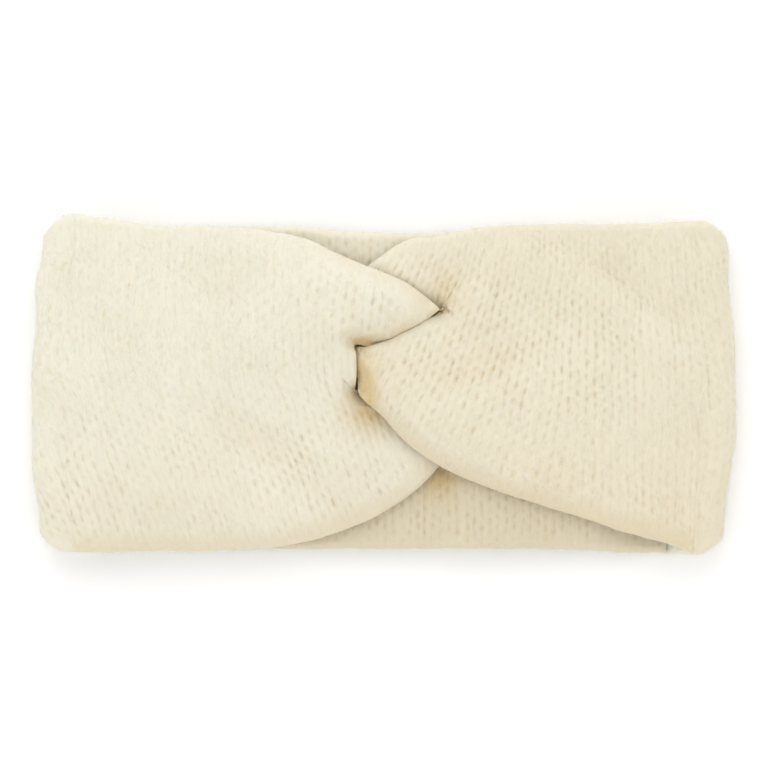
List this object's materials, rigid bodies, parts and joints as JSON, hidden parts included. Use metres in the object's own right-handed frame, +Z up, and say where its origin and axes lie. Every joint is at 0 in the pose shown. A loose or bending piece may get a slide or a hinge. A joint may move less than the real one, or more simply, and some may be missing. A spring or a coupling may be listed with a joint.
{
  "type": "ear warmer headband",
  "caption": "Wide knitted headband lying flat, its cream wool front gathered into a twist where two wraps cross over each other, open through the middle for the head.",
  "frame": {"origin": "centre of the footprint, on the surface that the back lies on", "axes": "+X along the band to the wearer's left ear as the picture shows it on the right, +Y across the band to its top rim, +Z up out of the front"},
  "size_m": [0.2338, 0.1116, 0.0283],
  "materials": {
    "left_wrap": "soft brushed knit wool",
    "right_wrap": "soft brushed knit wool",
    "back_panel": "soft brushed knit wool",
    "centre_seam": "gathered knit wool"
  },
  "bodies": {
    "root": {"left_wrap": "left_wrap", "right_wrap": "right_wrap", "back_panel": "back_panel", "centre_seam": "centre_seam"}
  },
  "joints": []
}
